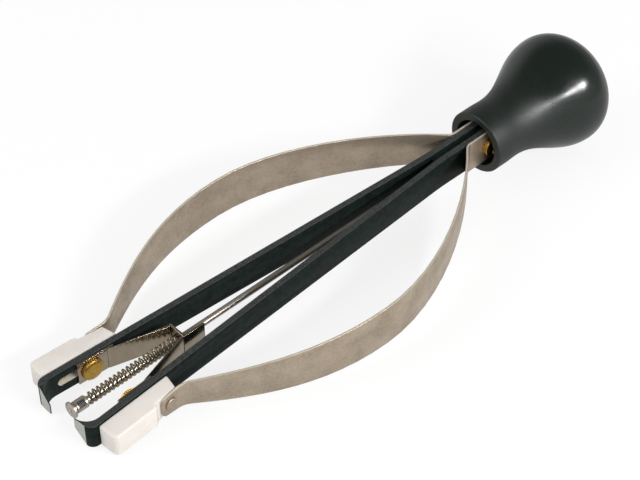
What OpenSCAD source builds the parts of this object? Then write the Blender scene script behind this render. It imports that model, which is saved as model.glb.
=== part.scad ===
// Watch hand remover: two steel legs with claws, squeezed together by two spring bows,
// a spring-loaded plunger on the axis, nylon shoes that stand on the dial, and a palm knob.
// Sizes are in millimetres. The origin is the centre of the knob's mouth, +X runs along the
// axis to the end of the knob, and the claws point to -X. Leg A is on the +Y side.
// Side B is side A turned half a turn about X, so the two claws pass beside each other.

/* [Legs] */
// Distance along a leg from the knob's mouth to the front of its claw
leg_reach = 96.8; // [93:0.1:103]
// Length of a leg behind the knob's mouth
leg_tail = 5; // [4:0.1:6]
// Radius of the soft bend where a leg leaves the tang
leg_bend_r = 60; // [40:5:100]
// Thickness of the steel strip
leg_t = 1.2; // [1:0.05:1.4]
// Angle of a leg from the axis in front of the tang, in degrees
leg_angle = 3.7; // [3.5:0.05:4]
// Height of a leg at the knob's mouth
leg_h_root = 6.4; // [6:0.1:7.2]
// Height of a leg at its claw
leg_h_tip = 4.7; // [4.2:0.1:5.4]

/* [Claws] */
// How far a claw reaches inwards from the leg's inner face
claw_reach = 2.9; // [2.6:0.05:3.2]
// Thickness of the claw's ground edge
claw_edge_t = 0.25; // [0.2:0.05:0.4]
// Height of the claw's ground edge
claw_edge_h = 2.1; // [1.6:0.1:2.4]
// Distance of the ground edge from the middle plane
claw_offset = 0.1; // [0.05:0.05:0.3]
// Outer radius of the claw's bend
claw_bend_r = 1.5; // [1.2:0.1:2]
// Radius of the hollow behind the claw
claw_hollow_r = 2.6; // [2:0.1:2.6]
// Height over the leg's edge at which the grinding of the claw starts
ground_rise = 0.15; // [0.1:0.05:0.3]

/* [Bows] */
// Thickness of the spring strip
bow_t = 0.4; // [0.3:0.05:0.5]
// Height of the strip at its widest
bow_h_mid = 8.6; // [7.6:0.1:9.4]
// Height of the strip at its tab in the knob
bow_h_tab = 6.7; // [6:0.1:7]
// Height of the strip at its riveted end
bow_h_front = 4.1; // [3.8:0.1:4.6]
// Distance from the knob's mouth to the top of the bow
bow_apex_x = 44.5; // [39:0.5:50]
// Distance from the axis to the top of the bow
bow_apex_y = 21.9; // [19:0.1:25]
// Distance from the knob's mouth to the end of the tab
bow_tab_front = 3.6; // [3:0.1:4.5]
// Length of flat strip from the rivet to the bend
bow_flat = 1.6; // [1.5:0.1:2.4]
// Length of flat strip in front of the rivet
bow_end_l = 2; // [1.7:0.1:2.3]
// Radius of the corners at the riveted end
bow_corner_r = 1.3; // [0.8:0.1:1.6]
// Length of the tab behind the knob's mouth
bow_tab_tail = 4.4; // [4:0.1:5]
// Angle at which the strip leaves the tab
bow_rear_angle = 45; // [38:1:50]
// Angle between the strip and the leg where it comes down to the shoe
bow_front_angle = 36; // [30:1:42]
// Bend radius at the tab
bow_rear_r = 2; // [1.5:0.1:3]
// Bend radius at the shoe
bow_front_r = 4; // [3:0.1:6]
// Fullness of the curve at the tab
bow_rear_pull = 13; // [10:1:18]
// Fullness of the curve at the top
bow_apex_pull = 14; // [10:1:18]
// Fullness of the curve at the shoe
bow_front_pull = 12; // [8:1:16]

/* [Shoes] */
// Distance of a shoe's front end behind the claw's front
shoe_back = 1.6; // [1:0.1:2.5]
// Length of a shoe
shoe_l = 15.1; // [14:0.1:17]
// Height of a shoe
shoe_h = 4.6; // [4.2:0.1:5]
// Thickness of a shoe at its front
shoe_t = 4.1; // [3.6:0.1:5]
// Thickness of the step that carries the bow
shoe_step_t = 3.2; // [2.6:0.1:3.4]
// Length of the step that carries the bow
shoe_step_l = 5.6; // [5.2:0.1:6]
// Radius of the shoe's rounded corners
shoe_corner_r = 0.9; // [0.5:0.1:1.5]
// How far the rear end of the shoe slants
shoe_slant = 0.9; // [0.4:0.1:1.4]
// Forward travel of a shoe on its leg
shoe_travel = 4; // [3:0.1:4.5]

/* [Fasteners] */
// Head diameter of the brass shoe screw
shoe_screw_head_d = 4.2; // [3.8:0.1:4.5]
// Head height of the brass shoe screw
shoe_screw_head_t = 0.95; // [0.8:0.05:1.1]
// Shank diameter of the brass shoe screw
shoe_screw_d = 1.4; // [1.2:0.1:1.6]
// Distance of the shoe screw behind the shoe's front end
shoe_screw_back = 8.4; // [8:0.1:8.8]
// Depth of the knurl on the shoe screw's head
knurl_depth = 0.12; // [0.05:0.01:0.2]
// Number of knurl ridges on the shoe screw's head
knurl_count = 30; // [20:1:36]
// Head diameter of the brass root screw
root_screw_head_d = 3.8; // [3:0.1:4]
// Head height of the brass root screw
root_screw_head_t = 0.95; // [0.7:0.05:1.1]
// Shank diameter of the brass root screw
root_screw_d = 1.8; // [1.5:0.1:2]
// Distance of the root screw behind the knob's mouth
root_screw_x = 1.5; // [1.2:0.1:2]
// Width of the driver slot in a root screw
driver_slot_w = 0.5; // [0.3:0.05:0.6]
// Depth of the driver slot in a root screw
driver_slot_depth = 0.45; // [0.3:0.05:0.5]
// Head diameter of the bow rivet
rivet_head_d = 2.3; // [1.9:0.1:2.6]
// Head height of the bow rivet
rivet_head_t = 0.4; // [0.3:0.05:0.6]
// Shank diameter of the bow rivet
rivet_d = 1.2; // [1:0.1:1.4]
// Distance of the bow rivet from the shoe's rear end
rivet_in = 2.6; // [2.4:0.1:2.8]

/* [Yoke] */
// Thickness of the yoke's strip
yoke_t = 0.45; // [0.35:0.05:0.5]
// Height of the yoke's strip
yoke_h = 4.66; // [4.2:0.02:5]
// Width of the bridge across the axis
bridge_w = 3.9; // [3.6:0.1:4.2]
// Distance along the axis from a pad's rear end to the bridge
bridge_back = 9.6; // [9:0.1:11]
// Length of the tab bent back from the bridge
bridge_tab_l = 4.1; // [3:0.1:5]
// Length of a pad on the leg's inner face
pad_l = 7.3; // [6.8:0.1:8]
// Distance of a pad's front end from the shoe screw
pad_front = 2.6; // [2.4:0.1:2.8]
// How far an arm laps past a pad's rear end
arm_lap = 1.3; // [0.8:0.1:1.6]

/* [Plunger] */
// Diameter of the rod
rod_d = 1.2; // [1:0.05:1.3]
// Distance from the knob's mouth to the rod's tail
rod_tail_x = 5.5; // [5.2:0.1:7]
// Diameter of the pressing disc
disc_d = 3; // [2.6:0.1:3.4]
// Thickness of the pressing disc
disc_t = 0.5; // [0.4:0.05:0.8]
// Distance of the disc's face behind the claws' front
disc_back = 1.5; // [1.3:0.1:3]
// Diameter of the pip on the disc's face
pip_d = 0.7; // [0.5:0.05:0.8]
// Height of the pip on the disc's face
pip_l = 0.2; // [0.1:0.05:0.4]
// Diameter of the collar that the spring pushes on
collar_d = 2.2; // [2:0.05:2.4]
// Length of the collar
collar_l = 2.8; // [2.4:0.1:4.5]
// Travel of the plunger against its spring
plunger_travel = 3; // [2:0.1:3.2]
// Wire diameter of the spring
spring_wire_d = 0.44; // [0.3:0.02:0.46]
// Diameter of the spring at the middle of its wire
spring_d = 1.75; // [1.7:0.05:2.1]
// Number of turns of the spring
spring_turns = 21; // [18:1:26]

/* [Knob] */
// Diameter of the knob's mouth
mouth_d = 12.4; // [12:0.1:13.4]
// Length of the plain collar at the mouth
mouth_l = 3; // [2.5:0.1:4]
// Diameter of the bore at the mouth
bore_d = 9.3; // [9.2:0.1:9.8]
// Depth of the bore
bore_l = 11; // [10:0.5:12]
// Diameter of the neck behind the collar
neck_d = 12.2; // [11.2:0.1:12.4]
// Distance from the mouth to the narrowest neck
neck_x = 6; // [4.5:0.1:7]
// Diameter of the bulb
bulb_d = 22.2; // [20:0.1:26]
// Distance from the mouth to the knob's end
knob_l = 30.4; // [29:0.1:36]
// Length of the rounded end behind the widest place of the bulb
bulb_end_l = 8.1; // [7:0.1:9]
// Fullness of the curve at the neck
neck_pull = 7; // [5:0.5:9]
// Fullness of the curve at the bulb
bulb_pull = 6; // [4:0.5:8]

/* [Tang] */
// Thickness of the flat bar between the legs
tang_t = 1.24; // [1.1:0.02:1.3]
// Height of the flat bar
tang_h = 5; // [4.4:0.1:5.6]
// Length of the flat bar in front of the mouth
tang_front = 11; // [10:0.5:14]
// Diameter of the round tail in the knob
tail_d = 4; // [3:0.1:4.2]
// Length of the round tail in the knob
tail_l = 8; // [6:0.5:10]

/* [Fits] */
// Gap between a leg and the tang
leg_seat_gap = 0.03; // [0.02:0.01:0.06]
// Gap under a piece that slides on a leg
slide_gap = 0.05; // [0.03:0.01:0.08]
// Radial clearance of a pin that slides in a slot
slot_fit = 0.08; // [0.04:0.01:0.1]
// Radial clearance of a shank in a piece that it holds
hold_fit = 0.02; // [0.01:0.01:0.05]
// Radial clearance of the rod in its guides
rod_fit = 0.05; // [0.03:0.01:0.1]
// Radial clearance of a root screw in the tang
root_fit = 0.1; // [0.08:0.01:0.15]
// Gap at the thin hinge between the bridge and an arm
hinge_gap = 0.05; // [0.03:0.01:0.1]
// Gap between an arm and the pad that it laps
lap_gap = 0.1; // [0.08:0.01:0.2]
// Gap at each end of the spring
spring_gap = 0.05; // [0.02:0.01:0.1]

/* [Hidden] */

round_steps = 64;
$fn = round_steps;
// Steps in a rounded corner and along each long curve of a bow or the knob
corner_steps = 6;
curve_steps = 12;
// Rings and sides of the spring's wire
ring_steps = 12;
wire_sides = 6;
// A cutting tool stands this far proud of what it cuts
over = 1;

// Places along a leg in the leg's own frame. It turns about the tang's front end, its X is
// the distance from the knob's mouth, and its Y is the height above the leg's inner face.
leg_root_y = tang_t / 2 + leg_seat_gap;
claw_x = -leg_reach;
shoe_front_x = claw_x + shoe_back;
shoe_rear_x = shoe_front_x + shoe_l;
shoe_step_x = shoe_rear_x - shoe_step_l;
shoe_inner_y = leg_t + slide_gap;
shoe_step_y = shoe_inner_y + shoe_step_t;
shoe_screw_x = shoe_front_x + shoe_screw_back;
rivet_x = shoe_rear_x - rivet_in;
pad_front_x = shoe_screw_x - pad_front;
pad_rear_x = pad_front_x + pad_l;
pad_outer_y = -slide_gap;
pad_inner_y = pad_outer_y - yoke_t;
bow_end_y = shoe_step_y + bow_t / 2;
bow_end_x = rivet_x - bow_end_l;
// Slot in the leg for the shoe screw, with a little more than the shoe's travel
slot_r = shoe_screw_d / 2 + slot_fit;
slot_spare = 1.5;
slot_front_x = shoe_screw_x - shoe_travel - slot_spare;

// Places along the axis, in the part's frame
tab_y = leg_root_y + leg_t + bow_t / 2;
disc_front_x = from_leg([claw_x, 0]).x + disc_back;
disc_rear_x = disc_front_x + disc_t;
collar_rear_x = disc_rear_x + collar_l;
bridge_front_x = from_leg([pad_rear_x, 0]).x + bridge_back;
bridge_rear_x = bridge_front_x + yoke_t;
arm_root_x = bridge_front_x - hinge_gap - yoke_t / 2;
arm_root_y = (bridge_w - yoke_t) / 2;
// The arm's tip lies on the inner face of the pad, in the part's frame
arm_tip = from_leg([pad_rear_x - arm_lap, pad_inner_y - lap_gap - yoke_t / 2]);
arm_run = arm_tip - [arm_root_x, arm_root_y];
arm_l = norm(arm_run);
arm_angle = atan2(arm_run.y, -arm_run.x);

// A point of the leg's frame, given in the part's frame
function from_leg(p) = let (x = p.x + tang_front) [
  x * cos(leg_angle) + p.y * sin(leg_angle) - tang_front,
  leg_root_y - x * sin(leg_angle) + p.y * cos(leg_angle)];

// Points on an arc about a centre, from one angle to another
function arc(centre, r, from, to, steps = corner_steps) =
  [for (i = [0 : steps]) let (a = from + (to - from) * i / steps)
    centre + r * [cos(a), sin(a)]];

// Points on a curve with two pull points, without its first point
function curve(a, pull_a, pull_b, b) =
  [for (i = [1 : curve_steps]) let (t = i / curve_steps, s = 1 - t)
    s * s * s * a + 3 * s * s * t * pull_a + 3 * s * t * t * pull_b + t * t * t * b];

// Middle line of the bow, from its tab to its riveted end, in the part's frame
rear_bend = arc([-bow_tab_front, tab_y + bow_rear_r], bow_rear_r, -90, -90 - bow_rear_angle);
front_bend = arc([rivet_x + bow_flat, bow_end_y + bow_front_r], bow_front_r,
  -90 + bow_front_angle, -90);
front_pull = front_bend[0] + bow_front_pull * [cos(bow_front_angle), sin(bow_front_angle)];
rear_point = rear_bend[corner_steps];
apex_point = [-bow_apex_x, bow_apex_y];
bow_line = concat(
  [[bow_tab_tail, tab_y]],
  rear_bend,
  curve(rear_point, rear_point + bow_rear_pull * [-cos(bow_rear_angle), sin(bow_rear_angle)],
    apex_point + [bow_apex_pull, 0], apex_point),
  curve(apex_point, apex_point - [bow_apex_pull, 0], from_leg(front_pull),
    from_leg(front_bend[0])),
  [for (i = [1 : corner_steps]) from_leg(front_bend[i])],
  [from_leg([bow_end_x - over, bow_end_y])]);
bow_front_x = from_leg([bow_end_x, bow_end_y]).x;

// Direction across the middle line at one of its points
function across(line, i) =
  let (a = line[max(i - 1, 0)], b = line[min(i + 1, len(line) - 1)], d = (b - a) / norm(b - a))
  [-d.y, d.x];

// Outline of a strip of even thickness along a middle line
function strip(line, t) = concat(
  [for (i = [0 : len(line) - 1]) line[i] + across(line, i) * t / 2],
  [for (i = [len(line) - 1 : -1 : 0]) line[i] - across(line, i) * t / 2]);

// Half height of the bow at a place along the axis: widest at the top, less at both ends
function bow_half(x) = x < -bow_apex_x
  ? (bow_h_mid - (bow_h_mid - bow_h_front) * pow((x + bow_apex_x) / (bow_front_x + bow_apex_x), 2)) / 2
  : (bow_h_mid - (bow_h_mid - bow_h_tab) * pow((x + bow_apex_x) / (bow_apex_x - bow_tab_front), 2)) / 2;

// Puts a piece of side A from the leg's frame into the part's frame
module on_leg() {
  translate([-tang_front, leg_root_y, 0]) rotate([0, 0, -leg_angle])
    translate([tang_front, 0, 0]) children();
}

// Turns a piece of side A into the like piece of side B
module other_side() {
  rotate([180, 0, 0]) children();
}

// A cylinder along Y from one height above the leg's inner face to another
module pin_y(x, from, to, d) {
  translate([x, to, 0]) rotate([90, 0, 0]) cylinder(h = to - from, d = d);
}

// A cylinder along the axis from one place to another
module rod_x(from, to, d) {
  translate([from, 0, 0]) rotate([0, 90, 0]) cylinder(h = to - from, d = d);
}

// A plate whose outline is drawn from above and that is centred on the middle plane
module plate(outline, h) {
  translate([0, 0, -h / 2]) linear_extrude(height = h) polygon(outline);
}

// A plate whose outline is drawn from the side, from one Y to another
module side_plate(outline, from, to) {
  translate([0, to, 0]) rotate([90, 0, 0]) linear_extrude(height = to - from) polygon(outline);
}

// One bent strip: the root lies flat on the tang, a soft bend leads into the straight leg,
// and the front end is turned inwards and ground to the claw
module leg_body() {
  bend_run = (leg_bend_r + leg_t) * tan(leg_angle / 2);
  bend_centre = [-tang_front + bend_run, leg_root_y + leg_t + leg_bend_r];
  turned = -90 - leg_angle;
  hollow_centre = [claw_x + claw_edge_t + claw_hollow_r, -claw_hollow_r];
  claw = concat(
    arc([claw_x + claw_bend_r, leg_t - claw_bend_r], claw_bend_r, 90, 180),
    [[claw_x, -claw_reach], [claw_x + claw_edge_t, -claw_reach]],
    arc(hollow_centre, claw_hollow_r, 180, 90));
  outline = concat(
    [[leg_tail, leg_root_y], [leg_tail, leg_root_y + leg_t]],
    arc(bend_centre, leg_bend_r, -90, turned),
    [for (p = claw) from_leg(p)],
    arc(bend_centre, leg_bend_r + leg_t, turned, -90));
  profile = [[leg_tail + over, -leg_h_root / 2], [leg_tail + over, leg_h_root / 2],
    [0, leg_h_root / 2], [claw_x - over, leg_h_tip / 2],
    [claw_x - over, -leg_h_tip / 2], [0, -leg_h_root / 2]];
  // The claw is ground away above and below its edge, drawn as seen along the leg
  tip_half = leg_h_tip / 2 + ground_rise;
  edge_high = -claw_offset;
  edge_low = edge_high - claw_edge_h;
  past_edge = -claw_reach - over;
  ground_top = [[0, leg_h_root], [0, tip_half], [-claw_reach, edge_high],
    [past_edge, edge_high], [past_edge, leg_h_root]];
  ground_low = [[0, -leg_h_root], [0, -tip_half], [-claw_reach, edge_low],
    [past_edge, edge_low], [past_edge, -leg_h_root]];
  difference() {
    intersection() {
      plate(outline, leg_h_root);
      side_plate(profile, 0, bow_apex_y);
    }
    pin_y(root_screw_x, 0, leg_root_y + leg_t + over, root_screw_d + 2 * hold_fit);
    on_leg() {
      for (cut = [ground_top, ground_low])
        translate([claw_x - over, 0, 0]) rotate([90, 0, 90])
          linear_extrude(height = claw_hollow_r * 2 + over) polygon(cut);
      pin_y(shoe_screw_x, -over, leg_t + over, slot_r * 2);
      pin_y(slot_front_x, -over, leg_t + over, slot_r * 2);
      translate([slot_front_x, -over, -slot_r])
        cube([shoe_screw_x - slot_front_x, leg_t + 2 * over, slot_r * 2]);
    }
  }
}

module bow_strip() {
  // The strip's outline from the side follows its height at even steps along the axis
  side_steps = 20;
  corner_x = bow_front_x + bow_corner_r;
  corner_z = bow_half(corner_x) - bow_corner_r;
  places = [for (i = [1 : side_steps]) corner_x - (corner_x + bow_tab_front) * i / side_steps];
  side_outline = concat(
    arc([corner_x, -corner_z], bow_corner_r, 270, 180),
    arc([corner_x, corner_z], bow_corner_r, 180, 90),
    [for (x = places) [x, bow_half(x)]],
    [[bow_tab_tail + over, bow_h_tab / 2], [bow_tab_tail + over, -bow_h_tab / 2]],
    [for (i = [side_steps - 1 : -1 : 0]) [places[i], -bow_half(places[i])]]);
  difference() {
    intersection() {
      plate(strip(bow_line, bow_t), bow_h_mid + over);
      side_plate(side_outline, 0, bow_apex_y + bow_t + over);
    }
    pin_y(root_screw_x, 0, tab_y + over, root_screw_d + 2 * hold_fit);
    on_leg() pin_y(rivet_x, shoe_step_y - over, bow_end_y + over, rivet_d + 2 * hold_fit);
  }
}

// The root screw crosses the tab and the leg, and ends in the tang short of the middle
module root_screw() {
  seat_y = tab_y + bow_t / 2;
  head_y = seat_y + root_screw_head_t;
  difference() {
    union() {
      pin_y(root_screw_x, seat_y, head_y, root_screw_head_d);
      pin_y(root_screw_x, root_fit, seat_y, root_screw_d);
    }
    translate([root_screw_x - driver_slot_w / 2, head_y - driver_slot_depth, -root_screw_head_d])
      cube([driver_slot_w, driver_slot_depth + over, 2 * root_screw_head_d]);
  }
}

module shoe_block() {
  r = shoe_corner_r;
  top_y = shoe_inner_y + shoe_t;
  outline = concat(
    [[shoe_rear_x, shoe_inner_y]],
    [[shoe_rear_x - shoe_slant, shoe_step_y]],
    [[shoe_step_x, shoe_step_y]],
    arc([shoe_step_x - r, top_y - r], r, 0, 90),
    arc([shoe_front_x + r, top_y - r], r, 90, 180),
    [[shoe_front_x, shoe_inner_y]]);
  difference() {
    plate(outline, shoe_h);
    // Pilot holes end short of the outer face
    pin_y(shoe_screw_x, shoe_inner_y - over, top_y - shoe_corner_r, shoe_screw_d + 2 * hold_fit);
    pin_y(rivet_x, shoe_inner_y + rivet_d / 2, shoe_step_y + over, rivet_d + 2 * hold_fit);
  }
}

// The knurled head lies on the pad, and the shank runs through the slot into the shoe
module shoe_screw() {
  head_r = shoe_screw_head_d / 2;
  rim = [for (i = [0 : 2 * knurl_count - 1])
    let (a = 180 * i / knurl_count, r = head_r - (i % 2) * knurl_depth) [r * cos(a), r * sin(a)]];
  shank_end = shoe_inner_y + shoe_t - shoe_corner_r - hold_fit;
  translate([shoe_screw_x, pad_inner_y, 0]) rotate([90, 0, 0])
    linear_extrude(height = shoe_screw_head_t) polygon(rim);
  pin_y(shoe_screw_x, pad_inner_y, shank_end, shoe_screw_d);
}

module bow_rivet() {
  seat_y = shoe_step_y + bow_t;
  pin_y(rivet_x, seat_y, seat_y + rivet_head_t, rivet_head_d);
  pin_y(rivet_x, shoe_inner_y + rivet_d / 2 + hold_fit, seat_y, rivet_d);
}

module yoke_pad() {
  difference() {
    translate([pad_front_x, pad_inner_y, -yoke_h / 2]) cube([pad_l, yoke_t, yoke_h]);
    pin_y(shoe_screw_x, pad_inner_y - over, pad_outer_y + over, shoe_screw_d + 2 * hold_fit);
  }
}

module yoke_arm() {
  translate([arm_root_x, arm_root_y, 0]) rotate([0, 0, -arm_angle]) {
    cylinder(h = yoke_h, d = yoke_t, center = true);
    translate([-arm_l, -yoke_t / 2, -yoke_h / 2]) cube([arm_l, yoke_t, yoke_h]);
  }
}

module yoke_bridge_plate() {
  difference() {
    translate([bridge_front_x, -bridge_w / 2, -yoke_h / 2]) cube([yoke_t, bridge_w, yoke_h]);
    rod_x(bridge_front_x - over, bridge_rear_x + over, rod_d + 2 * rod_fit);
  }
  translate([bridge_rear_x, -bridge_w / 2, -yoke_h / 2]) cube([bridge_tab_l, yoke_t, yoke_h]);
}

module knob() {
  bulb_r = bulb_d / 2;
  bulb_x = knob_l - bulb_end_l;
  tail_end = bore_l + tail_l + over;
  tail_r = tail_d / 2 + hold_fit;
  bulb_steps = 10;
  neck_r = neck_d / 2;
  mouth_run = (neck_x - mouth_l) / 3;
  // Each point is a radius and a distance from the mouth
  outside = concat(
    [[mouth_d / 2, 0], [mouth_d / 2, mouth_l]],
    curve([mouth_d / 2, mouth_l], [mouth_d / 2, mouth_l + mouth_run],
      [neck_r, neck_x - mouth_run], [neck_r, neck_x]),
    curve([neck_r, neck_x], [neck_r, neck_x + neck_pull], [bulb_r, bulb_x - bulb_pull],
      [bulb_r, bulb_x]),
    [for (i = [1 : bulb_steps]) let (a = 90 * i / bulb_steps)
      [bulb_r * cos(a), bulb_x + bulb_end_l * sin(a)]]);
  inside = [[0, tail_end], [tail_r, tail_end], [tail_r, bore_l], [bore_d / 2, bore_l],
    [bore_d / 2, 0]];
  color("black") rotate([90, 0, 90]) rotate_extrude(convexity = 4)
    polygon(concat(outside, inside));
}

module tang() {
  slot_h = rod_d + 2 * rod_fit;
  // The slot leaves the rod's tail a little room past its travel
  tail_room = 0.5;
  slot_end = plunger_travel - rod_tail_x + tail_room;
  color("dimgray") {
    difference() {
      translate([-tang_front, -tang_t / 2, -tang_h / 2])
        cube([tang_front + bore_l, tang_t, tang_h]);
      translate([-tang_front - over, -tang_t, -slot_h / 2])
        cube([tang_front + over + slot_end, 2 * tang_t, slot_h]);
      pin_y(root_screw_x, -tang_t, tang_t, root_screw_d + 2 * root_fit);
    }
    rod_x(bore_l, bore_l + tail_l, tail_d);
  }
}

module leg_a() {
  color("darkslategray") leg_body();
}

module leg_b() {
  color("darkslategray") other_side() leg_body();
}

module bow_a() {
  color("silver") bow_strip();
}

module bow_b() {
  color("silver") other_side() bow_strip();
}

module root_screw_a() {
  color("goldenrod") root_screw();
}

module root_screw_b() {
  color("goldenrod") other_side() root_screw();
}

module shoe_a() {
  color("white") on_leg() shoe_block();
}

module shoe_b() {
  color("white") other_side() on_leg() shoe_block();
}

module shoe_screw_a() {
  color("goldenrod") on_leg() shoe_screw();
}

module shoe_screw_b() {
  color("goldenrod") other_side() on_leg() shoe_screw();
}

module bow_rivet_a() {
  color("gainsboro") on_leg() bow_rivet();
}

module bow_rivet_b() {
  color("gainsboro") other_side() on_leg() bow_rivet();
}

module yoke_pad_a() {
  color("lightgray") on_leg() yoke_pad();
}

module yoke_pad_b() {
  color("lightgray") other_side() on_leg() yoke_pad();
}

module yoke_bridge() {
  color("lightgray") yoke_bridge_plate();
}

module yoke_arm_a() {
  color("lightgray") yoke_arm();
}

module yoke_arm_b() {
  color("lightgray") other_side() yoke_arm();
}

// The rod's thin end passes through the disc and stands proud as the pip
module plunger_rod() {
  color("tan") {
    rod_x(disc_rear_x, -rod_tail_x, rod_d);
    rod_x(disc_front_x - pip_l, disc_rear_x, pip_d);
  }
}

module plunger_collar() {
  color("peru") difference() {
    rod_x(disc_rear_x, collar_rear_x, collar_d);
    rod_x(disc_rear_x - over, collar_rear_x + over, rod_d + 2 * hold_fit);
  }
}

module plunger_disc() {
  color("gray") difference() {
    rod_x(disc_front_x, disc_rear_x, disc_d);
    rod_x(disc_front_x - over, disc_rear_x + over, pip_d + 2 * hold_fit);
  }
}

// One closed tube along the helix, between the collar and the bridge
module coil_spring() {
  wire_r = spring_wire_d / 2;
  start_x = collar_rear_x + spring_gap + wire_r;
  end_x = bridge_front_x - spring_gap - wire_r;
  rings = spring_turns * ring_steps;
  points = [for (i = [0 : rings], j = [0 : wire_sides - 1])
    let (a = 360 * i / ring_steps, b = 360 * j / wire_sides, r = spring_d / 2 + wire_r * cos(b))
    [start_x + (end_x - start_x) * i / rings + wire_r * sin(b), r * cos(a), r * sin(a)]];
  sides = [for (i = [0 : rings - 1], j = [0 : wire_sides - 1])
    let (k = (j + 1) % wire_sides, a = i * wire_sides, b = a + wire_sides)
    [a + j, a + k, b + k, b + j]];
  ends = [[for (j = [wire_sides - 1 : -1 : 0]) j],
    [for (j = [0 : wire_sides - 1]) rings * wire_sides + j]];
  color("lightgray") polyhedron(points, concat(sides, ends), convexity = 10);
}

knob();
tang();
leg_a();
leg_b();
bow_a();
bow_b();
root_screw_a();
root_screw_b();
shoe_a();
shoe_b();
shoe_screw_a();
shoe_screw_b();
bow_rivet_a();
bow_rivet_b();
yoke_bridge();
yoke_arm_a();
yoke_arm_b();
yoke_pad_a();
yoke_pad_b();
plunger_rod();
plunger_collar();
plunger_disc();
coil_spring();
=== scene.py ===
# Looks of a watch hand remover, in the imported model's frame, in metres: +X runs along the
# axis to the end of the knob, the claws point to -X, and leg A is on the +Y side.
import math

import bmesh
import bpy
from mathutils import Matrix, Quaternion, Vector


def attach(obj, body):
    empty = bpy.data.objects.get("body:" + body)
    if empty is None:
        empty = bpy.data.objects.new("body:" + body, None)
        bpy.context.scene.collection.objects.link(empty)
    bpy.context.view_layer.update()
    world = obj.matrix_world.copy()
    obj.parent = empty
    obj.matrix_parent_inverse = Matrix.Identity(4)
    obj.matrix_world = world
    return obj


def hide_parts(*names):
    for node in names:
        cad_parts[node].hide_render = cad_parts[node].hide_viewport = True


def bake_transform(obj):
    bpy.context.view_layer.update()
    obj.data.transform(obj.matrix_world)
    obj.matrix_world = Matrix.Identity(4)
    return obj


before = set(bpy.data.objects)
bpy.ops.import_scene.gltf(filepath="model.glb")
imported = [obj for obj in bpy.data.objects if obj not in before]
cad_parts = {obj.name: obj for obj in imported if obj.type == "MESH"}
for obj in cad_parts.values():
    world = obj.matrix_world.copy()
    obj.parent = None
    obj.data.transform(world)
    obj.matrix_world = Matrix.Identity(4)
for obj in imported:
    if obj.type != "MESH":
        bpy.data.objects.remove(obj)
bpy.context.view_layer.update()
scene = bpy.context.scene

# Knob: one black ABS moulding, polished, whose round end rests in the palm. Its hollow neck
# is glued over the tail of the tang, and the lips of its mouth are slightly rounded.


def mm(length):
    return length / 1000


def add(tree, kind, inputs=None, **settings):
    """Adds a node with its settings. An input is set to a value, or linked to an output."""
    made = tree.nodes.new(kind)
    for name, value in settings.items():
        setattr(made, name, value)
    for name, value in (inputs or {}).items():
        if isinstance(value, bpy.types.NodeSocket):
            tree.links.new(value, made.inputs[name])
        else:
            made.inputs[name].default_value = value
    return made


def paint(colour):
    """Linear colour of an sRGB hex value."""
    parts = [int(colour[i:i + 2], 16) / 255 for i in (1, 3, 5)]
    return [c / 12.92 if c <= 0.04045 else ((c + 0.055) / 1.055) ** 2.4 for c in parts] + [1]


def finish_named(name):
    """A new material with an empty node tree, and the place on the piece that it reads."""
    finish = bpy.data.materials.new(name)
    finish.use_nodes = True
    finish.node_tree.nodes.clear()
    return finish, finish.node_tree, add(finish.node_tree, "ShaderNodeTexCoord").outputs["Object"]


def bend(start, pull, push, end, steps):
    """Points on a curve with two pull points, without its first point."""
    points = []
    for i in range(1, steps + 1):
        t = i / steps
        s = 1 - t
        points.append([s ** 3 * a + 3 * s * s * t * b + 3 * s * t * t * c + t ** 3 * d
                       for a, b, c, d in zip(start, pull, push, end)])
    return points


def corner(centre, r, start, end, steps=6):
    """Points on an arc, from one angle to another in degrees."""
    angles = [math.radians(start + (end - start) * i / steps) for i in range(steps + 1)]
    return [[centre[0] + r * math.cos(a), centre[1] + r * math.sin(a)] for a in angles]


def turned(name, outline, sides):
    """A lathe-turned mesh about X, in mm, from points of distance along X and radius."""
    work = bmesh.new()
    rings = []
    for x, r in outline:
        if r < 1e-6:
            rings.append([work.verts.new((x, 0, 0))])
        else:
            angles = [2 * math.pi * i / sides for i in range(sides)]
            rings.append([work.verts.new((x, r * math.cos(a), r * math.sin(a))) for a in angles])
    for a, b in zip(rings, rings[1:]):
        for i in range(sides):
            k = (i + 1) % sides
            face = [a[i % len(a)], a[k % len(a)], b[k % len(b)], b[i % len(b)]]
            face = [v for j, v in enumerate(face) if v not in face[:j]]
            if len(face) > 2:
                work.faces.new(face)
    bmesh.ops.recalc_face_normals(work, faces=work.faces)
    mesh = bpy.data.meshes.new(name)
    work.to_mesh(mesh)
    work.free()
    return mesh


def smooth(mesh, angle):
    """Smooth shading, with edges kept where the surface turns by more degrees than that."""
    mesh.shade_smooth()
    mesh.set_sharp_from_angle(angle=math.radians(angle))


def shown(name, mesh, place, finish):
    """An object at the origin, in one material, with its place in its mesh."""
    mesh.transform(place)
    mesh.materials.append(finish)
    piece = bpy.data.objects.new(name, mesh)
    scene.collection.objects.link(piece)
    return piece


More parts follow.
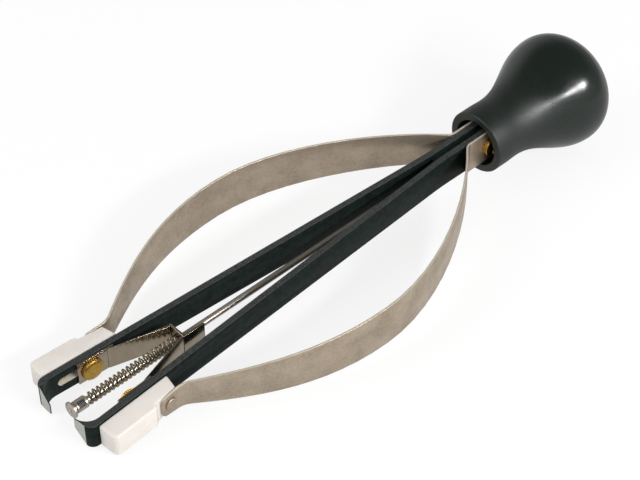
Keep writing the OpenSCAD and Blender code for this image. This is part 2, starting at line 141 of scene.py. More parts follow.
# Polished black ABS: deep black, with a soft gloss that varies over a few millimetres where
# the polish has thinned, and with faint rub marks from handling. The neck is only satin.
black_abs, tree, place = finish_named("polished_black_abs")
haze = add(tree, "ShaderNodeTexNoise", {"Vector": place, "Scale": 1 / mm(5), "Detail": 3})
rubs = add(tree, "ShaderNodeTexNoise", {"Vector": place, "Scale": 1 / mm(0.6), "Detail": 6})
polish = add(tree, "ShaderNodeMix", {"Factor": 0.35, "A": haze.outputs[0], "B": rubs.outputs[0]})
gloss = add(tree, "ShaderNodeMapRange", {
    "Value": polish.outputs[0], "From Min": 0.35, "From Max": 0.65, "To Min": 0.14, "To Max": 0.26})
along = add(tree, "ShaderNodeSeparateXYZ", {0: place}).outputs["X"]
satin_neck = add(tree, "ShaderNodeMapRange", {
    "Value": along, "From Min": mm(8), "From Max": mm(17), "To Min": 0.3, "To Max": 0},
    interpolation_type="SMOOTHSTEP")
gloss = add(tree, "ShaderNodeMath", {0: gloss.outputs[0], 1: satin_neck.outputs[0]},
            operation="ADD")
ripple = add(tree, "ShaderNodeBump", {
    "Height": rubs.outputs[0], "Strength": 0.25, "Distance": mm(0.01)})
body = add(tree, "ShaderNodeBsdfPrincipled", {
    "Base Color": paint("#131b16"), "IOR": 1.53, "Roughness": gloss.outputs[0],
    "Normal": ripple.outputs[0]})
add(tree, "ShaderNodeOutputMaterial", {"Surface": body.outputs[0]})

bore_r, bore_l, tail_r, tail_end = 4.65, 11, 2.02, 20
mouth_r, mouth_l, lip_r, inner_lip_r = 6.2, 3, 0.35, 0.2
neck_r, neck_x, neck_ease, neck_pull = 6.1, 6, 1, 7
bulb_r, bulb_x, bulb_pull, knob_l = 11.1, 22.3, 6, 30.4
bulb_steps = 24
knob_outline = (
    [[tail_end, 0], [tail_end, tail_r], [bore_l, tail_r], [bore_l, bore_r]]
    + corner([inner_lip_r, bore_r + inner_lip_r], inner_lip_r, 270, 180)
    + corner([lip_r, mouth_r - lip_r], lip_r, 180, 90)
    + [[mouth_l, mouth_r]]
    + bend([mouth_l, mouth_r], [mouth_l + neck_ease, mouth_r], [neck_x - neck_ease, neck_r],
           [neck_x, neck_r], steps=6)
    + bend([neck_x, neck_r], [neck_x + neck_pull, neck_r], [bulb_x - bulb_pull, bulb_r],
           [bulb_x, bulb_r], bulb_steps)
    + [[bulb_x + (knob_l - bulb_x) * math.sin(a), bulb_r * math.cos(a)]
       for a in [math.pi / 2 * i / bulb_steps for i in range(1, bulb_steps)]]
    + [[knob_l, 0]])
knob_mesh = turned("knob_moulding", knob_outline, sides=160)
smooth(knob_mesh, angle=50)
knob = shown("knob_moulding", knob_mesh, Matrix.Scale(mm(1), 4), black_abs)
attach(knob, "knob")
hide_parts("knob")

# Tang: a flat steel bar between the legs, with a turned tail glued in the knob. It is slit
# along its front end, where the plunger's rod slides in it.


def skin(node, finish, edge, segments=2):
    """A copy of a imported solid, with its doubles merged and its edges broken, in mm of edge."""
    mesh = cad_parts[node].data.copy()
    work = bmesh.new()
    work.from_mesh(mesh)
    same_place, same_plane = mm(0.0005), math.radians(0.3)
    bmesh.ops.remove_doubles(work, verts=work.verts, dist=same_place)
    bmesh.ops.dissolve_limit(work, angle_limit=same_plane, verts=work.verts, edges=work.edges)
    work.to_mesh(mesh)
    work.free()
    mesh.materials.clear()
    mesh.materials.append(finish)
    piece = bpy.data.objects.new(node + "_piece", mesh)
    scene.collection.objects.link(piece)
    break_edges(piece, edge, segments)
    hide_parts(node)
    return piece


def break_edges(piece, edge, segments=2):
    """Rounds the sharp edges of a piece, in mm of edge, and makes the result a plain mesh."""
    rounding = piece.modifiers.new("broken_edges", "BEVEL")
    rounding.width = mm(edge)
    rounding.segments = segments
    rounding.limit_method = "ANGLE"
    rounding.angle_limit = math.radians(35)
    rounding.use_clamp_overlap = False
    rounding.miter_outer = "MITER_ARC"
    made_plain(piece)
    smooth(piece.data, angle=40)


def made_plain(piece):
    """Turns what the piece's modifiers make into its own plain mesh."""
    graph = bpy.context.evaluated_depsgraph_get()
    mesh = bpy.data.meshes.new_from_object(piece.evaluated_get(graph))
    piece.modifiers.clear()
    piece.data = mesh


# Blackened spring steel: hot-oiled oxide, a satin black with a fine blasted grain and paler
# specks where the oxide is rubbed thin.
black_steel, tree, place = finish_named("blackened_spring_steel")
grain = add(tree, "ShaderNodeTexNoise", {"Vector": place, "Scale": 1 / mm(0.25), "Detail": 5})
thin = add(tree, "ShaderNodeTexNoise", {"Vector": place, "Scale": 1 / mm(1.1), "Detail": 7,
                                        "Roughness": 0.7})
oxide = add(tree, "ShaderNodeValToRGB", {"Fac": thin.outputs[0]})
oxide.color_ramp.elements[0].position = 0.35
oxide.color_ramp.elements[0].color = paint("#0f1513")
oxide.color_ramp.elements[1].position = 0.75
oxide.color_ramp.elements[1].color = paint("#1f2b27")
satin = add(tree, "ShaderNodeMapRange", {
    "Value": grain.outputs[0], "From Min": 0.3, "From Max": 0.7, "To Min": 0.36, "To Max": 0.5})
pits = add(tree, "ShaderNodeBump", {
    "Height": grain.outputs[0], "Strength": 0.3, "Distance": mm(0.02)})
body = add(tree, "ShaderNodeBsdfPrincipled", {
    "Base Color": oxide.outputs[0], "Roughness": satin.outputs[0], "Specular IOR Level": 0.08,
    "Normal": pits.outputs[0]})
add(tree, "ShaderNodeOutputMaterial", {"Surface": body.outputs[0]})

tang = skin("tang", black_steel, edge=0.1)
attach(tang, "knob")

# Legs: two strips of blackened spring steel, bent inwards at the front. The outer face of
# each claw is ground bright, so that its edge can slip under a watch hand.

# Freshly ground steel: bright grey, with the fine parallel lines that the wheel leaves.
ground_steel, tree, place = finish_named("ground_steel")
lines = add(tree, "ShaderNodeMapping", {"Vector": place,
            "Scale": (1 / mm(2), 1 / mm(2), 1 / mm(0.12))})
marks = add(tree, "ShaderNodeTexNoise", {"Vector": lines.outputs[0], "Scale": 1, "Detail": 4})
tone = add(tree, "ShaderNodeMix", {
    "Factor": marks.outputs[0], "A": paint("#b2b6ae"), "B": paint("#d6d9d0")}, data_type="RGBA")
wheel = add(tree, "ShaderNodeBump", {
    "Height": marks.outputs[0], "Strength": 0.3, "Distance": mm(0.01)})
body = add(tree, "ShaderNodeBsdfPrincipled", {
    "Base Color": tone.outputs["Result"], "Metallic": 0.85, "Roughness": 0.42,
    "Normal": wheel.outputs[0]})
add(tree, "ShaderNodeOutputMaterial", {"Surface": body.outputs[0]})

# Sheared edge of the blackened strip: paler than its faces, and speckled with bright burrs.
# The same dark finish is also the painted shade on the floor of the collar's crimp.
sheared_edge_and_crimp_shade, tree, place = finish_named("sheared_edge_and_crimp_shade")
torn = add(tree, "ShaderNodeTexNoise", {"Vector": place, "Scale": 1 / mm(0.22), "Detail": 6,
                                        "Roughness": 0.7})
burrs = add(tree, "ShaderNodeValToRGB", {"Fac": torn.outputs[0]})
burrs.color_ramp.elements[0].position = 0.42
burrs.color_ramp.elements[0].color = paint("#1c1f1e")
burrs.color_ramp.elements[1].position = 0.72
burrs.color_ramp.elements[1].color = paint("#535655")
tear = add(tree, "ShaderNodeBump", {
    "Height": torn.outputs[0], "Strength": 0.5, "Distance": mm(0.03)})
body = add(tree, "ShaderNodeBsdfPrincipled", {
    "Base Color": burrs.outputs[0], "Roughness": 0.5, "Specular IOR Level": 0.4,
    "Normal": tear.outputs[0]})
add(tree, "ShaderNodeOutputMaterial", {"Surface": body.outputs[0]})

# Wall of the milled slot: bare and dull, and painted a pale cream as painted light, so that it
# looks as pale as the lit nylon beside it where the slot would lie in shade.
slot_wall_painted_light, tree, place = finish_named("slot_wall_painted_light")
cutter = add(tree, "ShaderNodeTexNoise", {"Vector": place, "Scale": 1 / mm(0.4), "Detail": 4})
pale_painted_light = add(tree, "ShaderNodeMix", {
    "Factor": cutter.outputs[0], "A": paint("#e4dccb"), "B": paint("#c9c0ae")}, data_type="RGBA")
body = add(tree, "ShaderNodeBsdfPrincipled", {
    "Base Color": pale_painted_light.outputs["Result"], "Metallic": 0.1, "Roughness": 0.5})
add(tree, "ShaderNodeOutputMaterial", {"Surface": body.outputs[0]})

leg_angle, tang_front, leg_root_y = 3.7, 11, 0.65


def on_leg(side):
    """From mm in a leg's own frame, in which its inner face is straight, to metres."""
    place = (Matrix.Translation((-tang_front, leg_root_y, 0))
             @ Matrix.Rotation(math.radians(-leg_angle), 4, "Z")
             @ Matrix.Translation((tang_front, 0, 0)))
    if side == "b":
        place = Matrix.Rotation(math.pi, 4, "X") @ place
    return Matrix.Scale(mm(1), 4) @ place


# In the leg's own frame: where the claw begins, and the reach of the slot and its half width.
# A face looks square along an axis, or lies along it, past these shares of its normal.
claw_y, slot_from, slot_to, slot_half = -0.25, -93.1, -86, 0.8
square_on, edge_on = 0.8, 0.1
ground, sheared, slot_painted_light = 1, 2, 3
for side in "ab":
    leg = skin("leg_" + side, black_steel, edge=0.1)
    for finish in (ground_steel, sheared_edge_and_crimp_shade, slot_wall_painted_light):
        leg.data.materials.append(finish)
    to_leg = on_leg(side).inverted()
    for face in leg.data.polygons:
        spot = to_leg @ face.center
        facing = (to_leg.to_3x3() @ face.normal).normalized()
        in_slot = slot_from < spot.x < slot_to and abs(spot.z) < slot_half
        if spot.y < claw_y and facing.x < -square_on:
            face.material_index = ground
        elif in_slot and abs(facing.y) < edge_on:
            # The slot's walls take the pale painted light
            face.material_index = slot_painted_light
        elif abs(facing.z) > square_on:
            face.material_index = sheared
    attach(leg, "leg_" + side)

# Bows: two strips of nickel-plated spring steel, screwed flat to the legs in the knob's mouth
# and riveted to the shoes. On the tool they bend as they are squeezed, and push the shoes
# forward; here each is one fixed mesh, not attached to any body.

# Nickel plate on rolled strip: a warm pinkish grey, satin, and softly mottled where the plate
# has dulled, with no lines in it.
nickel, tree, place = finish_named("nickel_plated_strip")
cloud = add(tree, "ShaderNodeTexNoise", {"Vector": place, "Scale": 1 / mm(4), "Detail": 4})
speck = add(tree, "ShaderNodeTexNoise", {"Vector": place, "Scale": 1 / mm(0.5), "Detail": 5})
blend = add(tree, "ShaderNodeMix", {"Factor": 0.35, "A": cloud.outputs[0], "B": speck.outputs[0]})
warm = add(tree, "ShaderNodeValToRGB", {"Fac": blend.outputs[0]})
warm.color_ramp.elements[0].position = 0.35
warm.color_ramp.elements[0].color = paint("#a89987")
warm.color_ramp.elements[1].position = 0.65
warm.color_ramp.elements[1].color = paint("#c4b4a0")
sheen = add(tree, "ShaderNodeMapRange", {
    "Value": blend.outputs[0], "From Min": 0.35, "From Max": 0.65, "To Min": 0.46, "To Max": 0.36})
dimples = add(tree, "ShaderNodeBump", {
    "Height": speck.outputs[0], "Strength": 0.15, "Distance": mm(0.01)})
body = add(tree, "ShaderNodeBsdfPrincipled", {
    "Base Color": warm.outputs[0], "Metallic": 0.85, "Roughness": sheen.outputs[0],
    "Normal": dimples.outputs[0]})
add(tree, "ShaderNodeOutputMaterial", {"Surface": body.outputs[0]})

# Slit edge of the strip: bare where the plate doesn't reach, and painted pale and bright as a
# painted highlight for the glint that the edges catch.
slit_edge_painted_highlight, tree, place = finish_named("slit_edge_painted_highlight")
nicks = add(tree, "ShaderNodeTexNoise", {"Vector": place, "Scale": 1 / mm(0.6), "Detail": 4})
pale_highlight_tone = add(tree, "ShaderNodeMix", {
    "Factor": nicks.outputs[0], "A": paint("#d6cfbf"), "B": paint("#a9a08f")}, data_type="RGBA")
body = add(tree, "ShaderNodeBsdfPrincipled", {
    "Base Color": pale_highlight_tone.outputs["Result"], "Metallic": 0.3, "Roughness": 0.45})
add(tree, "ShaderNodeOutputMaterial", {"Surface": body.outputs[0]})

bow_tab_x, bow_rivet_x, bow_side_y, edge_share = -5, -80.5, 5, 0.75
for side, sign in (("a", 1), ("b", -1)):
    bow = skin("bow_" + side, nickel, edge=0.08)
    bow.data.materials.append(slit_edge_painted_highlight)
    # The top and bottom edges of each bow take the painted highlight
    for face in bow.data.polygons:
        if abs(face.normal.z) > edge_share:
            face.material_index = 1
    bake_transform(bow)

# Root screws: slotted brass screws, turned from bar. Each goes through the tab of a bow and the
# root of a leg into the tang.

# Turned brass: deep yellow and smooth, with a duller and browner film of age in patches.
brass, tree, place = finish_named("turned_brass")
film = add(tree, "ShaderNodeTexNoise", {"Vector": place, "Scale": 1 / mm(0.8), "Detail": 5})
aged = add(tree, "ShaderNodeMix", {
    "Factor": film.outputs[0], "A": paint("#d8b35c"), "B": paint("#a57c34")}, data_type="RGBA")
dull = add(tree, "ShaderNodeMapRange", {
    "Value": film.outputs[0], "From Min": 0.3, "From Max": 0.7, "To Min": 0.2, "To Max": 0.36})
body = add(tree, "ShaderNodeBsdfPrincipled", {
    "Base Color": aged.outputs["Result"], "Metallic": 1, "Roughness": dull.outputs[0]})
add(tree, "ShaderNodeOutputMaterial", {"Surface": body.outputs[0]})

for side in "ab":
    root_screw = skin("root_screw_" + side, brass, edge=0.12, segments=3)
    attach(root_screw, "leg_" + side)

# Shoes: white nylon blocks that slide on the outside of the legs and stand on the dial, so
# that the claws can lift the hand. Their corners are rounded as they are moulded.

# Moulded nylon: warm white, waxy, lit a little from inside, with a soft uneven surface.
nylon, tree, place = finish_named("moulded_nylon")
flow = add(tree, "ShaderNodeTexNoise", {"Vector": place, "Scale": 1 / mm(3), "Detail": 4})
milky = add(tree, "ShaderNodeMix", {
    "Factor": flow.outputs[0], "A": paint("#e0dbd5"), "B": paint("#d1cac3")}, data_type="RGBA")
mould = add(tree, "ShaderNodeTexNoise", {"Vector": place, "Scale": 1 / mm(0.5), "Detail": 3})
orange_peel = add(tree, "ShaderNodeBump", {
    "Height": mould.outputs[0], "Strength": 0.3, "Distance": mm(0.02)})
body = add(tree, "ShaderNodeBsdfPrincipled", {
    "Base Color": milky.outputs["Result"], "Roughness": 0.42, "IOR": 1.53,
    "Subsurface Weight": 0.35, "Subsurface Radius": (1, 0.8, 0.6), "Subsurface Scale": mm(1.2),
    "Normal": orange_peel.outputs[0]})
add(tree, "ShaderNodeOutputMaterial", {"Surface": body.outputs[0]})

shoe_front, shoe_rear, shoe_step = -95.2, -80.1, -85.7
shoe_in, shoe_mid, shoe_out = 1.25, 4.45, 5.35
shoe_h, shoe_corner, shoe_slant = 4.6, 0.9, 0.9
shoe_outline = (
    [[shoe_rear, shoe_in], [shoe_rear - shoe_slant, shoe_mid], [shoe_step, shoe_mid]]
    + corner([shoe_step - shoe_corner, shoe_out - shoe_corner], shoe_corner, 0, 90)
    + corner([shoe_front + shoe_corner, shoe_out - shoe_corner], shoe_corner, 90, 180)
    + [[shoe_front, shoe_in]])
for side in "ab":
    work = bmesh.new()
    flat = [work.verts.new((x, y, -shoe_h / 2)) for x, y in shoe_outline]
    base = work.faces.new(flat)
    raised = bmesh.ops.extrude_face_region(work, geom=[base])["geom"]
    up = [v for v in raised if isinstance(v, bmesh.types.BMVert)]
    bmesh.ops.translate(work, verts=up, vec=(0, 0, shoe_h))
    bmesh.ops.recalc_face_normals(work, faces=work.faces)
    mesh = bpy.data.meshes.new("shoe_" + side)
    work.to_mesh(mesh)
    work.free()
    shoe = shown("shoe_%s_moulding" % side, mesh, on_leg(side), nylon)
    break_edges(shoe, edge=0.45, segments=4)
    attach(shoe, "shoe_" + side)
    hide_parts("shoe_" + side)

# Shoe screws: brass thumb screws with a knurled rim and a domed face. Each holds a pad of the
# yoke on the inside of the leg, and its shank runs through the leg's slot into the shoe.
screw_x, pad_in, shank_l, shank_r, shank_chamfer = -86.8, -0.5, 4.93, 0.7, 0.2
head_r, head_h, seat_chamfer, rim_from, rim_to = 2.1, 0.95, 0.25, 0.08, 0.66
ridge_count, ridge_r, ridge_h = 30, 0.12, 0.6
rim_r = head_r - ridge_r
head_dome = [[0.8, head_r - 0.3], [0.87, head_r - 0.6], [0.92, 1], [head_h, 0]]
screw_outline = [
    [-shank_l, 0], [-shank_l, shank_r - shank_chamfer], [shank_chamfer - shank_l, shank_r],
    [0, shank_r], [0, head_r - seat_chamfer], [rim_from, rim_r], [rim_to, rim_r]] + head_dome


def standing(side, x, y, turn):
    """Place of a turned piece that stands on a leg, its axis turned by degrees from the leg's."""
    return (on_leg(side) @ Matrix.Translation((x, y, 0))
            @ Matrix.Rotation(math.radians(turn), 4, "Z"))


def node_group(name, wishes):
    """A new Geometry Nodes group that makes a shape, and the outputs of its named inputs."""
    group = bpy.data.node_groups.new(name, "GeometryNodeTree")
    group.interface.new_socket("Geometry", in_out="OUTPUT", socket_type="NodeSocketGeometry")
    for label, kind in wishes:
        group.interface.new_socket(label, in_out="INPUT", socket_type="NodeSocket" + kind)
    return group, add(group, "NodeGroupInput").outputs


def grown(name, group, wishes):
    """An object whose plain mesh is what a node group makes from values for its inputs."""
    piece = bpy.data.objects.new(name, bpy.data.meshes.new(name))
    scene.collection.objects.link(piece)
    rule = piece.modifiers.new(name, "NODES")
    rule.node_group = group
    for item in group.interface.items_tree:
        if item.in_out == "INPUT":
            rule[item.identifier] = wishes[item.name]
    made_plain(piece)
    return piece


knurling, wish = node_group("knurled_rim", (
    ("Ridges", "Int"), ("Rim Radius", "Float"), ("Ridge Height", "Float"),
    ("Ridge Radius", "Float"), ("Finish", "Material")))
rim = add(knurling, "GeometryNodeMeshCircle", {
    "Vertices": wish["Ridges"], "Radius": wish["Rim Radius"]})
ridge = add(knurling, "GeometryNodeMeshCylinder", {
    "Vertices": 6, "Radius": wish["Ridge Radius"], "Depth": wish["Ridge Height"]})
ring = add(knurling, "GeometryNodeInstanceOnPoints", {
    "Points": rim.outputs["Mesh"], "Instance": ridge.outputs["Mesh"]})
real = add(knurling, "GeometryNodeRealizeInstances", {"Geometry": ring.outputs[0]})
gilt = add(knurling, "GeometryNodeSetMaterial", {
    "Geometry": real.outputs[0], "Material": wish["Finish"]})
add(knurling, "NodeGroupOutput", {"Geometry": gilt.outputs[0]})

for side in "ab":
    seat = standing(side, screw_x, pad_in, -90)
    mesh = turned("shoe_screw", screw_outline, sides=60)
    smooth(mesh, angle=50)
    screw = shown("shoe_screw_%s_turned" % side, mesh, seat, brass)
    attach(screw, "shoe_" + side)
    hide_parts("shoe_screw_" + side)
    ridges = grown("shoe_screw_%s_knurl" % side, knurling, {
        "Ridges": ridge_count, "Rim Radius": rim_r, "Ridge Height": ridge_h,
        "Ridge Radius": ridge_r, "Finish": brass})
    ridges.data.transform(seat @ Matrix.Translation(((rim_from + rim_to) / 2, 0, 0))
                          @ Matrix.Rotation(math.pi / 2, 4, "Y"))
    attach(ridges, "shoe_" + side)

# Bow rivets: nickel-plated steel rivets with a low rounded head. Each goes through the end of a
# bow and holds it on its shoe.
rivet_x, rivet_seat, rivet_shank_l, rivet_shank_r = -82.7, 4.85, 2.9, 0.6
rivet_r, rivet_h, rivet_edge_h, under_h, under_in = 1.15, 0.4, 0.15, 0.05, 0.1
dome_h, dome_round, dome_steps = rivet_h - rivet_edge_h, 0.6, 8
rivet_outline = (
    [[-rivet_shank_l, 0], [-rivet_shank_l, rivet_shank_r], [0, rivet_shank_r],
     [0, rivet_r - under_in], [under_h, rivet_r], [rivet_edge_h, rivet_r]]
    + [[rivet_edge_h + dome_h * math.sin(a), rivet_r * math.cos(a) ** dome_round]
       for a in [math.pi / 2 * i / dome_steps for i in range(1, dome_steps)]]
    + [[rivet_h, 0]])
for side in "ab":
    mesh = turned("rivet", rivet_outline, sides=48)
    smooth(mesh, angle=50)
    rivet = shown("bow_rivet_%s_closed" % side, mesh, standing(side, rivet_x, rivet_seat, 90),
                  nickel)
    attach(rivet, "shoe_" + side)
    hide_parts("bow_rivet_" + side)

# Yoke: one strip of nickel-plated spring steel, bent to a bridge that the rod passes through,
# two arms and two pads. It carries the spring's push to the shoes.

# Polished nickel plate: as the bows, but smooth enough to mirror the spring beside it.
polished, tree, place = finish_named("polished_nickel_plate")
smear = add(tree, "ShaderNodeTexNoise", {"Vector": place, "Scale": 1 / mm(2), "Detail": 5})
tinge = add(tree, "ShaderNodeMix", {
    "Factor": smear.outputs[0], "A": paint("#b9ad9a"), "B": paint("#978b79")}, data_type="RGBA")
lustre = add(tree, "ShaderNodeMapRange", {
    "Value": smear.outputs[0], "From Min": 0.3, "From Max": 0.7, "To Min": 0.14, "To Max": 0.26})
body = add(tree, "ShaderNodeBsdfPrincipled", {
    "Base Color": tinge.outputs["Result"], "Metallic": 1, "Roughness": lustre.outputs[0]})
add(tree, "ShaderNodeOutputMaterial", {"Surface": body.outputs[0]})

# In the leg's own frame: where an arm ends, how long its feathered end is, how near it comes
# to the pad's face, and how much of its thickness it loses
arm_front, feather_l, pad_face_y, lap_gap, thinned = -83.3, 1.2, -0.5, 0.02, 0.93
for node, rider in (("yoke_bridge", "yoke"), ("yoke_arm_a", "arm_a"), ("yoke_arm_b", "arm_b"),
                    ("yoke_pad_a", "shoe_a"), ("yoke_pad_b", "shoe_b")):
    strip = skin(node, polished, edge=0.06)
    if node[:-1] == "yoke_arm_":
        # The end that laps the pad is feathered, so that arm and pad look like one strip
        to_leg = on_leg(node[-1]).inverted()
        for v in strip.data.vertices:
            spot = to_leg @ v.co
            near = 1 - (spot.x - arm_front) / feather_l
            if near > 0:
                spot.y += (pad_face_y - lap_gap - spot.y) * min(near, 1) * thinned
                v.co = to_leg.inverted() @ spot
    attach(strip, rider)

# Plunger: a drawn steel rod on the axis. Its thin front end passes through a turned disc that
# presses on the hand's hub, and a collar is crimped on it behind the disc.

# Turned and drawn steel: pale grey, softly polished, with the fine rings that a lathe leaves
# round the axis.
steel, tree, place = finish_named("turned_steel")
across = add(tree, "ShaderNodeMapping", {"Vector": place,
             "Scale": (1 / mm(0.15), 1 / mm(3), 1 / mm(3))})
rings = add(tree, "ShaderNodeTexNoise", {"Vector": across.outputs[0], "Scale": 1, "Detail": 4})
grey = add(tree, "ShaderNodeMix", {
    "Factor": rings.outputs[0], "A": paint("#cfc8bc"), "B": paint("#b3aba0")}, data_type="RGBA")
cut = add(tree, "ShaderNodeBump", {
    "Height": rings.outputs[0], "Strength": 0.2, "Distance": mm(0.01)})
body = add(tree, "ShaderNodeBsdfPrincipled", {
    "Base Color": grey.outputs["Result"], "Metallic": 0.9, "Roughness": 0.42,
    "Normal": cut.outputs[0]})
add(tree, "ShaderNodeOutputMaterial", {"Surface": body.outputs[0]})

disc_x, disc_t, disc_r = -95.12, 0.5, 1.5
face_r, ease_x, ease_r, rim_front, rim_back, rear_chamfer = 1.1, 0.06, 1.35, 0.16, 0.42, 0.08
pip_r, pip_l, pip_chamfer, loose = 0.35, 0.2, 0.1, 0.02
rod_r, rod_tail, rod_chamfer = 0.6, -5.5, 0.2
disc_back, disc_bore, pip_x = disc_x + disc_t, pip_r + loose, disc_x - pip_l
rod_outline = [
    [pip_x, 0], [pip_x, pip_r - pip_chamfer], [pip_x + pip_chamfer, pip_r],
    [disc_back, pip_r], [disc_back, rod_r], [rod_tail - rod_chamfer, rod_r],
    [rod_tail, rod_r - rod_chamfer], [rod_tail, 0]]
disc_outline = [
    [disc_x, disc_bore], [disc_x, face_r], [disc_x + ease_x, ease_r],
    [disc_x + rim_front, disc_r], [disc_x + rim_back, disc_r],
    [disc_back, disc_r - rear_chamfer], [disc_back, disc_bore], [disc_x, disc_bore]]

collar_r, collar_l, collar_bore, collar_chamfer = 1.1, 2.8, rod_r + loose, 0.15
groove_r, groove_l, shoulder_l, body_l, body_rings = 0.85, 0.35, 0.5, 2.1, 28
collar_front, collar_back = disc_back, disc_back + collar_l
collar_outline = (
    [[collar_front, collar_bore], [collar_front, groove_r], [collar_front + groove_l, groove_r],
     [collar_front + shoulder_l, collar_r]]
    + [[collar_front + shoulder_l + body_l * i / body_rings, collar_r]
       for i in range(1, body_rings + 1)]
    + [[collar_back, collar_r - collar_chamfer], [collar_back, collar_bore],
       [collar_front, collar_bore]])
# The crimp's window faces the same way as in the photograph
crimp_from, crimp_to = collar_front + 0.8, collar_front + 2.2
crimp_side, crimp_r, crimp_half, crimp_deep = Vector((0, -0.61, 0.79)), 0.7, 0.52, 0.26
for name, node, outline in (("plunger_rod_drawn", "plunger_rod", rod_outline),
                            ("plunger_disc_turned", "plunger_disc", disc_outline),
                            ("plunger_collar_crimped", "plunger_collar", collar_outline)):
    mesh = turned(name, outline, sides=72)
    crimp_painted_shade = set()
    if node == "plunger_collar":
        for v in mesh.vertices:
            up = v.co.dot(crimp_side)
            off = abs(v.co.cross(crimp_side).x)
            if crimp_from < v.co.x < crimp_to and up > crimp_r and off < crimp_half:
                v.co -= crimp_side * crimp_deep
                crimp_painted_shade.add(v.index)
    smooth(mesh, angle=40)
    piece = shown(name, mesh, Matrix.Scale(mm(1), 4), steel)
    # The crimp's floor takes the dark edge finish, as painted shade in the sunken window
    piece.data.materials.append(sheared_edge_and_crimp_shade)
    for face in piece.data.polygons:
        if set(face.vertices) <= crimp_painted_shade:
            face.material_index = 1
    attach(piece, "plunger")
    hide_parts(node)

# Spring: nickel-plated music wire, coiled on the rod between the collar and the yoke. It is
# made in two lengths, a front one by the plunger and a rear one by the yoke; neither is attached to
# a body.

# Plated spring wire: bright, with narrow highlights along each turn.
wire, tree, place = finish_named("plated_spring_wire")
worn = add(tree, "ShaderNodeTexNoise", {"Vector": place, "Scale": 1 / mm(1), "Detail": 4})
plated = add(tree, "ShaderNodeMix", {
    "Factor": worn.outputs[0], "A": paint("#b9b09c"), "B": paint("#857c6a")}, data_type="RGBA")
body = add(tree, "ShaderNodeBsdfPrincipled", {
    "Base Color": plated.outputs["Result"], "Metallic": 1, "Roughness": 0.2})
add(tree, "ShaderNodeOutputMaterial", {"Surface": body.outputs[0]})

coiling, wish = node_group("wire_coil", (
    ("Turns", "Float"), ("Coil Radius", "Float"), ("Coil Length", "Float"),
    ("Wire Radius", "Float"), ("Finish", "Material")))
helix = add(coiling, "GeometryNodeCurveSpiral", {
    "Resolution": 24, "Rotations": wish["Turns"], "Start Radius": wish["Coil Radius"],
    "End Radius": wish["Coil Radius"], "Height": wish["Coil Length"]})
section = add(coiling, "GeometryNodeCurvePrimitiveCircle", {
    "Resolution": 10, "Radius": wish["Wire Radius"]})
drawn_wire = add(coiling, "GeometryNodeCurveToMesh", {
    "Curve": helix.outputs[0], "Profile Curve": section.outputs[0], "Fill Caps": True})
round_wire = add(coiling, "GeometryNodeSetShadeSmooth", {"Geometry": drawn_wire.outputs[0]})
real = add(coiling, "GeometryNodeRealizeInstances", {"Geometry": round_wire.outputs[0]})
plate = add(coiling, "GeometryNodeSetMaterial", {
    "Geometry": real.outputs[0], "Material": wish["Finish"]})
add(coiling, "NodeGroupOutput", {"Geometry": plate.outputs[0]})

wire_r, coil_r, coil_start, coil_end = 0.22, 0.875, -91.55, -72.62
turns_front, turns_all = 10, 21
coil_middle = coil_start + (coil_end - coil_start) * turns_front / turns_all
# The helix rises along Z; this turns its axis to X
lying = Matrix(((0, 0, 1, 0), (1, 0, 0, 0), (0, 1, 0, 0), (0, 0, 0, 1)))
for name, start, end, turns, pair in (
        ("coil_spring_front", coil_start, coil_middle, turns_front, ("plunger", "knob")),
        ("coil_spring_rear", coil_middle, coil_end, turns_all - turns_front, ("knob", "yoke"))):
    coil = grown(name, coiling, {
        "Turns": float(turns), "Coil Radius": coil_r, "Coil Length": end - start,
        "Wire Radius": wire_r, "Finish": wire})
    coil.data.transform(Matrix.Scale(mm(1), 4) @ Matrix.Translation((start, 0, 0)) @ lying)
    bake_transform(coil)
    if pair[0] == "plunger":
        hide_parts("coil_spring")

# Floor: a plain pale table top on which the tool lies, on the round of the knob and the tips
# of its legs, so it slopes a little in the tool's own frame.
tip_x, tip_z, knob_x, knob_z, clear, half_side = -97, -2.36, 21.5, -11.1, 0.08, 1500
slope = math.atan2(tip_z - knob_z, knob_x - tip_x)
floor_mesh = bpy.data.meshes.new("table_top")
floor_mesh.from_pydata([(mm(half_side * x), mm(half_side * y), 0)
                        for x, y in ((-1, -1), (1, -1), (1, 1), (-1, 1))],
                       [], [(0, 1, 2, 3)])

# Pale laminate: to the camera and in reflections most of its white is its own, so that only
# a faint shadow shows on it. Reflections see it a little darker.
pale, tree = finish_named("pale_table_top")[:2]
own_white, mirrored_white = 0.82, 0.6
ray = add(tree, "ShaderNodeLightPath").outputs
straight = add(tree, "ShaderNodeMath", {0: ray["Is Camera Ray"], 1: ray["Is Glossy Ray"]},
               operation="MAXIMUM")
seen = add(tree, "ShaderNodeMath", {0: straight.outputs[0], 1: ray["Is Transmission Ray"]},
           operation="MAXIMUM")
share = add(tree, "ShaderNodeMath", {0: seen.outputs[0], 1: own_white}, operation="MULTIPLY")
matt = add(tree, "ShaderNodeBsdfDiffuse", {"Color": paint("#f4f4f4")})
bright = add(tree, "ShaderNodeMapRange", {
    "Value": ray["Is Glossy Ray"], "To Min": 1, "To Max": mirrored_white})
white = add(tree, "ShaderNodeEmission", {"Color": (1, 1, 1, 1), "Strength": bright.outputs[0]})
mixed = add(tree, "ShaderNodeMixShader", {0: share.outputs[0], 1: matt.outputs[0],
                                          2: white.outputs[0]})
add(tree, "ShaderNodeOutputMaterial", {"Surface": mixed.outputs[0]})
table_top = shown("table_top", floor_mesh,
                  Matrix.Translation((mm(tip_x), 0, mm(tip_z - clear)))
                  @ Matrix.Rotation(slope, 4, "Y"), pale)

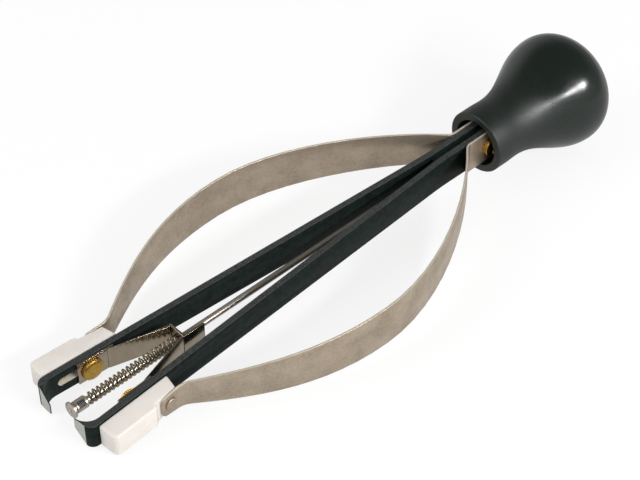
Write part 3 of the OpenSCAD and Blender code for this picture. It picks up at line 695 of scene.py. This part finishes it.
# Light: a white room that is darker overhead. A long soft lamp low on the near side makes the
# long streak on the knob, a small lamp that is only mirrored makes the streak's bright end,
# and a broad lamp fills the shadows.
room = bpy.data.worlds.new("white_room")
room.use_nodes = True
tree = room.node_tree
tree.nodes.clear()
gaze = add(tree, "ShaderNodeTexCoord").outputs["Generated"]
parts = add(tree, "ShaderNodeSeparateXYZ", {0: gaze}).outputs
horizon = add(tree, "ShaderNodeMapRange", {
    "Value": parts["X"], "From Min": -0.5, "From Max": 0.9, "To Min": 0.95, "To Max": 0.35})
overhead = add(tree, "ShaderNodeMapRange", {
    "Value": parts["Z"], "From Min": 0.15, "From Max": 0.75, "To Min": horizon.outputs[0],
    "To Max": 0.12}, interpolation_type="SMOOTHSTEP")
ray = add(tree, "ShaderNodeLightPath").outputs
dim = add(tree, "ShaderNodeMix", {
    "Factor": ray["Is Glossy Ray"], "A": 0.6, "B": overhead.outputs[0]})
level = add(tree, "ShaderNodeMix", {
    "Factor": ray["Is Camera Ray"], "A": dim.outputs[0], "B": 1.0})
sky = add(tree, "ShaderNodeBackground", {"Color": (1, 1, 1, 1), "Strength": level.outputs[0]})
add(tree, "ShaderNodeOutputWorld", {"Surface": sky.outputs[0]})
scene.world = room

middle = Vector((mm(10), 0, 0))
for name, aim, away, size, power in (
        ("long_soft_lamp", (0.05, -0.82, 0.53), 480, (290, 40), 1.75),
        ("small_lamp", (0.24, -0.83, 0.51), 489, (48, 48), 0.6),
        ("fill_lamp", (-0.75, 0.35, 0.56), 600, (260, 260), 1.0)):
    lamp = bpy.data.lights.new(name, "AREA")
    lamp.shape = "RECTANGLE"
    lamp.size, lamp.size_y = [mm(side) for side in size]
    lamp.energy = power
    stand = bpy.data.objects.new(name, lamp)
    scene.collection.objects.link(stand)
    way = Vector(aim).normalized()
    stand.visible_diffuse = name != "small_lamp"
    stand.location = middle + way * mm(away)
    stand.rotation_mode = "QUATERNION"
    stand.rotation_quaternion = way.to_track_quat("Z", "Y")

# Camera: where the photographer stood, above the claws on leg B's side. Its place, turn and
# lens are fitted to points of the photograph.
camera = bpy.data.objects.new("camera", bpy.data.cameras.new("camera"))
scene.collection.objects.link(camera)
camera.location = (mm(-214.24), mm(-189.79), mm(250.36))
azimuth, elevation, roll = math.radians(-42.65), math.radians(43.98), math.radians(-0.84)
back = Vector((math.sin(azimuth) * math.cos(elevation),
               -math.cos(azimuth) * math.cos(elevation), math.sin(elevation)))
camera.rotation_mode = "QUATERNION"
camera.rotation_quaternion = (-back).to_track_quat("-Z", "Y") @ Quaternion((0, 0, 1), roll)
camera.data.lens, camera.data.sensor_width = 115.1, 36
camera.data.clip_start, camera.data.clip_end = 0.01, 10
scene.camera = camera
scene.view_settings.view_transform = "Standard"
